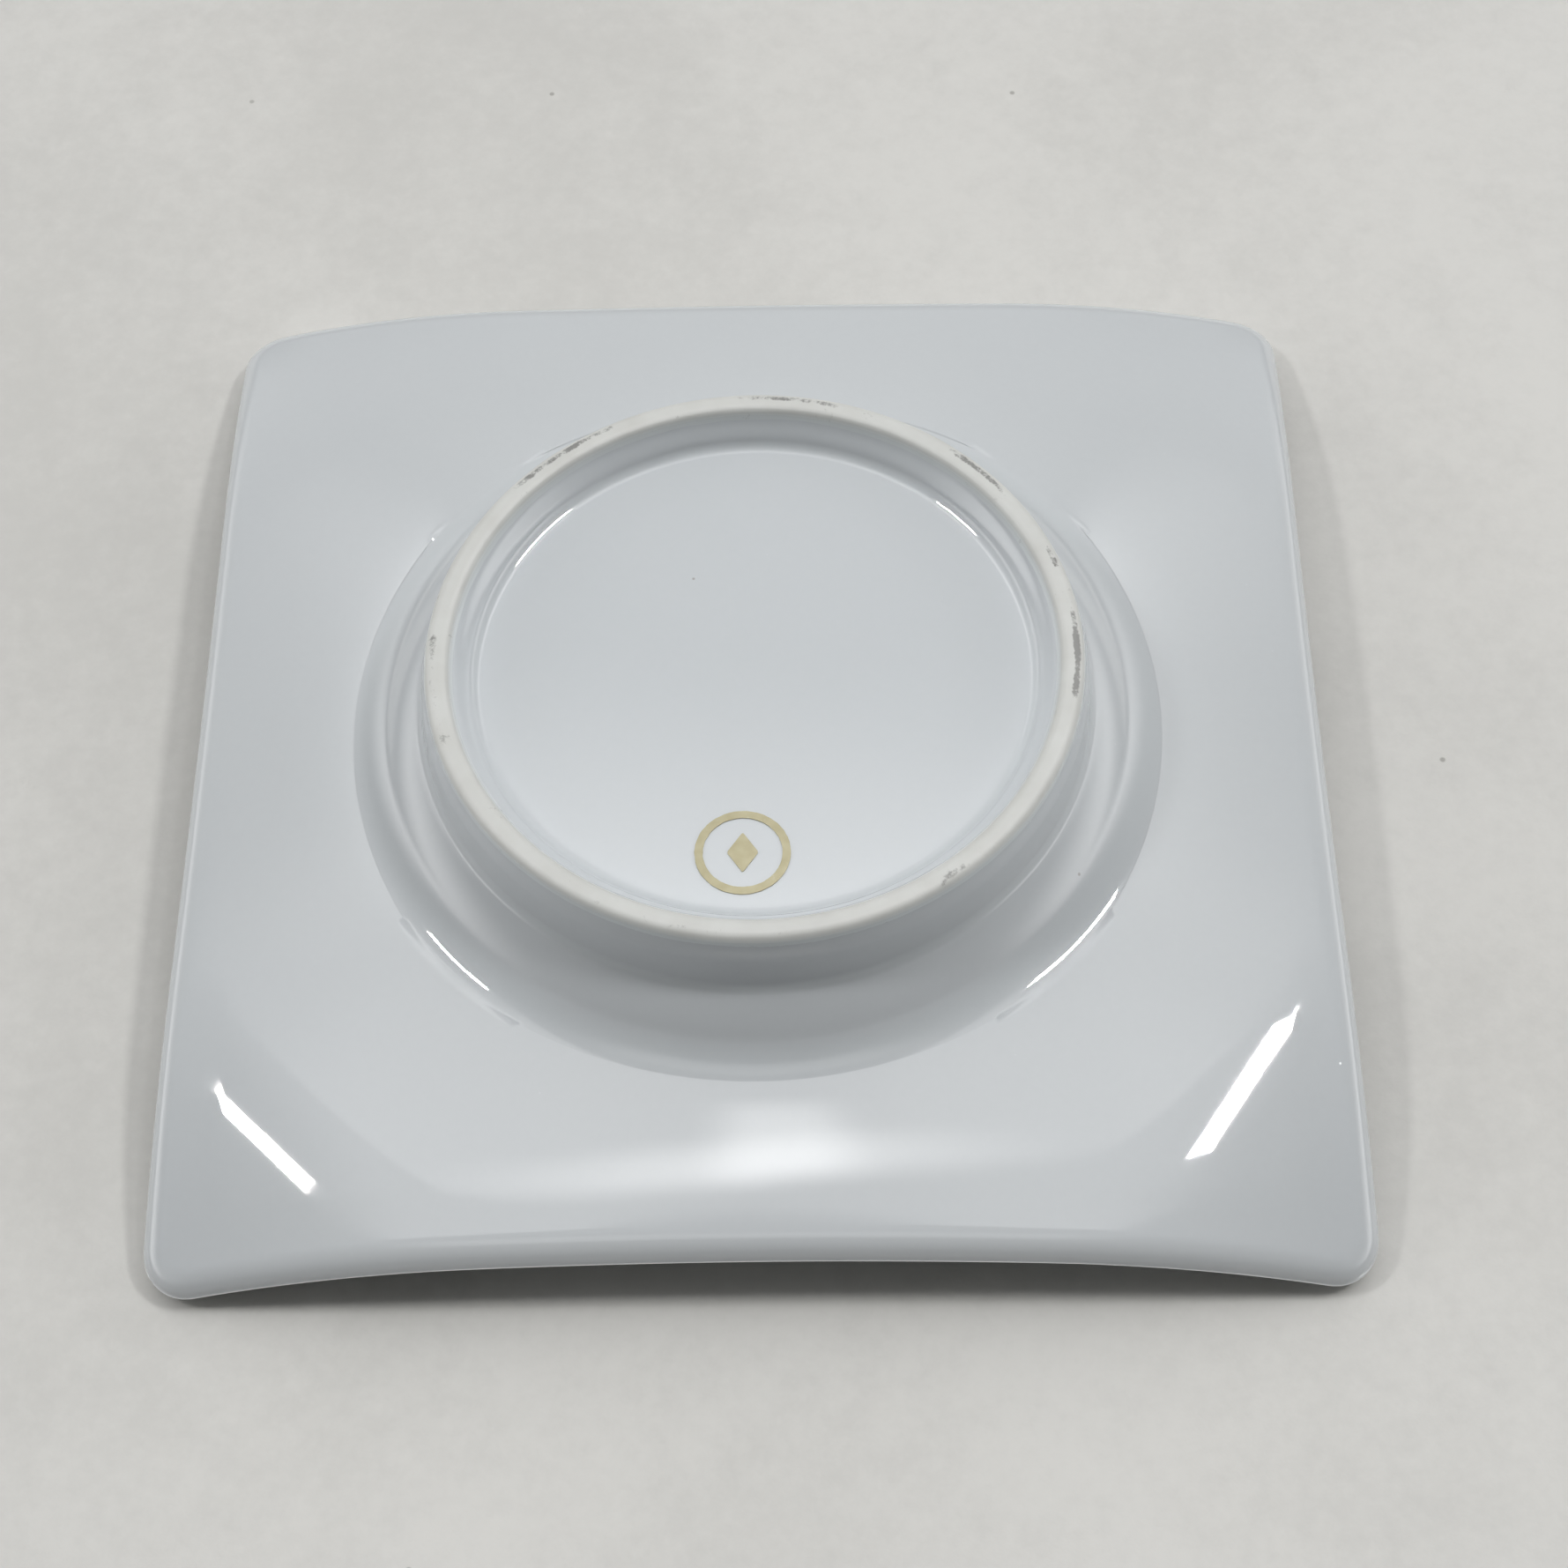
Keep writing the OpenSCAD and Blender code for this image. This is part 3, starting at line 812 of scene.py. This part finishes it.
# The table lets the first rays that leave the dish pass, so that the eating side of the upright dish is
# lit from above. Beyond the square of the plate it still shows in the mirror of the glazed rim
board_half = 2
mirror_from = plate_side / 2
mirror_fade = 1 * mm
board, tree, surface, spot = board_finish("Pale table")
ray = wire(tree, "LightPath").outputs
bounces = Rule(tree, ray["Ray Depth"]) + Rule(tree, ray["Is Shadow Ray"])
passing = bounces.do("LESS_THAN", 1.5) - Rule(tree, ray["Is Camera Ray"])
place = wire(tree, "SeparateXYZ", Vector=spot).outputs
off_x, off_y = (Rule(tree, place[axis]).do("ABSOLUTE") for axis in "XY")
outside = ease(off_x.do("MAXIMUM", off_y), mirror_from, mirror_from + mirror_fade)
in_mirror = outside * Rule(tree, ray["Is Glossy Ray"])
one_sided(tree, surface, passing.do("MAXIMUM", 0) * (in_mirror * -1 + 1))
flat_sheet("table", board_half, tip_z, False, board)

# The floor for views of the upright dish is seen from above only, and no other ray meets it
floor_drop = 0.02 * mm
ground, tree, surface, spot = board_finish("Pale floor")
unseen = Rule(tree, wire(tree, "LightPath").outputs["Is Camera Ray"]) * -1 + 1
one_sided(tree, surface, unseen)
flat_sheet("floor", board_half, -floor_drop, True, ground)

ceiling_h = 1.6


def above_table(x, y, height=ceiling_h):
    """A place over the table that the dish lies on: x to the right, y away from the viewer, in heights."""
    return Vector((x * height, -y * height, tip_z - height))


def lamp(name, start, stop, width, radiance, lights=True, shines=True):
    """A tube or board between two places that faces the dish, as bright as radiance times white paper."""
    light = bpy.data.lights.new(name, "AREA")
    light.shape = "RECTANGLE"
    light.size, light.size_y = (stop - start).length, width
    light.energy = radiance * math.pi * light.size * light.size_y
    bulb = bpy.data.objects.new(name, light)
    scene.collection.objects.link(bulb)
    middle = (start + stop) / 2
    across = (stop - start).normalized()
    away = (middle - across * middle.dot(across)).normalized()
    turn = Matrix((across, away.cross(across), away)).transposed().to_4x4()
    bulb.matrix_world = Matrix.Translation(middle) @ turn
    bulb.visible_camera, bulb.visible_diffuse, bulb.visible_glossy = False, lights, shines


# Each side of the room has a wide light that throws the shadows and a tube that shows in the glaze, and
# two soft boxes light the upright dish
wide_w, tube_w = 0.13 * ceiling_h, 0.045 * ceiling_h
left_level, right_level, tube_level, soft_level = 45, 47, 600, 1.5
lamp("left light", above_table(-0.84, 0.15), above_table(-0.84, -0.03), wide_w, left_level, shines=False)
lamp("right light", above_table(0.66, 0.2), above_table(0.66, 0), wide_w, right_level, shines=False)
lamp("left tube", above_table(-0.6, 0.225), above_table(-0.47, 0.105), tube_w, tube_level, lights=False)
lamp("right tube", above_table(0.437, 0.37), above_table(0.372, 0.155), tube_w, tube_level, lights=False)
lamp("soft box left", Vector((-0.9, -0.8, 0.9)), Vector((-0.5, -0.2, 0.9)), 0.6, soft_level)
lamp("soft box right", Vector((0.8, -0.1, 0.8)), Vector((0.8, 0.7, 0.8)), 0.3, soft_level)

# The room over the table, by where each way meets the ceiling: along to the right, away from the viewer
world = bpy.data.worlds.new("room")
world.use_nodes = True
scene.world = world
sky = world.node_tree
east, south, rise = (Rule(sky, axis) for axis in wire(
    sky, "SeparateXYZ", Vector=wire(sky, "TexCoord").outputs["Generated"]).outputs)
up = rise * -1
height = up.do("MAXIMUM", 0.05)
along, away = east / height, south / height * -1


def off(rule, middle):
    """How far a number lies from a middle value, to either side."""
    return (rule - middle).do("ABSOLUTE")


# A bright panel in the ceiling with a soft rim, a hard bowed edge, a glow along that edge and a bright core
rim_at, rim_fall = 0.166, 0.28
edge_at, edge_bow = 0.184, 1.5
panel_level, rise_level, side_level = 1.4, 1.2, 0.2
glow_level, core_level = 4.0, 3.6
aside, bow = off(along, -0.02), along + 0.035
past_rim = away + (aside - 0.1).do("MAXIMUM", 0) * rim_fall - rim_at
past_edge = away - bow * bow * edge_bow - edge_at
panel_end = ease(aside, 0.15, 0.35) * 0.35 + 0.62
on_panel = ease(past_rim, -0.012, 0.012) * ease(aside, 0.52, 0.25) * ease(away - panel_end, 0.08, -0.08)
over_edge = ease(past_edge, -0.006, 0.005)
near_edge = over_edge * (ease(past_edge, 0.22, 0.02) * 0.9 + 0.1)
panel = on_panel * (ease(aside, 0.03, 0.15) * side_level + near_edge
                    + ease(away, 0.42, 0.52) * rise_level + panel_level)
glow = over_edge * ease(past_edge, 0.02, 0.007) * ease(off(along, -0.03), 0.22, 0.02) * glow_level
core = over_edge * ease(off(along, -0.005), 0.075, 0.015) * ease(away, 0.235, 0.205) * core_level
bright = panel + glow + core

# A dim strip overhead in front of the dish, the ceiling over it, and darker walls to the sides and behind
strip_level, side_wall_level, rear_low, rear_high = 1.2, 3.1, 0.1, 0.85
strip = ease(off(along, -0.03), 0.4, 0.15) * ease(off(away, -0.16), 0.2, 0.06) * ease(up, 0, 0.2)
overhead = ease(up, 0.8, 0.95) * ease(away, -0.25, 0.12)
level = (east * east + south * south).do("MAXIMUM", 0.0001)
sides = east * east / level * ease(south, 0.7, 0.1) * side_wall_level
behind = (south * -1).do("MAXIMUM", 0)
rear = behind * behind / level
low = ease(up, 0.6, 0.25) * ease(up, 0.04, 0.28)
high = ease(up, 0.25, 0.6) * ease(up, 0.95, 0.8)
walls = low * (sides + rear * rear_low) + high * rear * rear_high

# The panel shows stronger in the glaze than it lights; round the upright dish the light is even
upright_level, backdrop_level = 0.7, 0.75
ray = wire(sky, "LightPath").outputs
mirrored, shown = Rule(sky, ray["Is Glossy Ray"]), Rule(sky, ray["Is Camera Ray"])
shining = strip * strip_level + overhead * 0.5 + bright
lighting = overhead * 1.2 + bright * 0.35
over_table = walls + shining * mirrored + lighting * (mirrored * -1 + 1)
upright = ease(rise, -0.05, 0.05)
room = over_table * (upright * -1 + 1) + upright * upright_level
background = sky.nodes["Background"]
background.inputs["Color"].default_value = (1, 1, 1, 1)
sky.links.new((room * (shown * -1 + 1) + shown * backdrop_level).socket, background.inputs["Strength"])
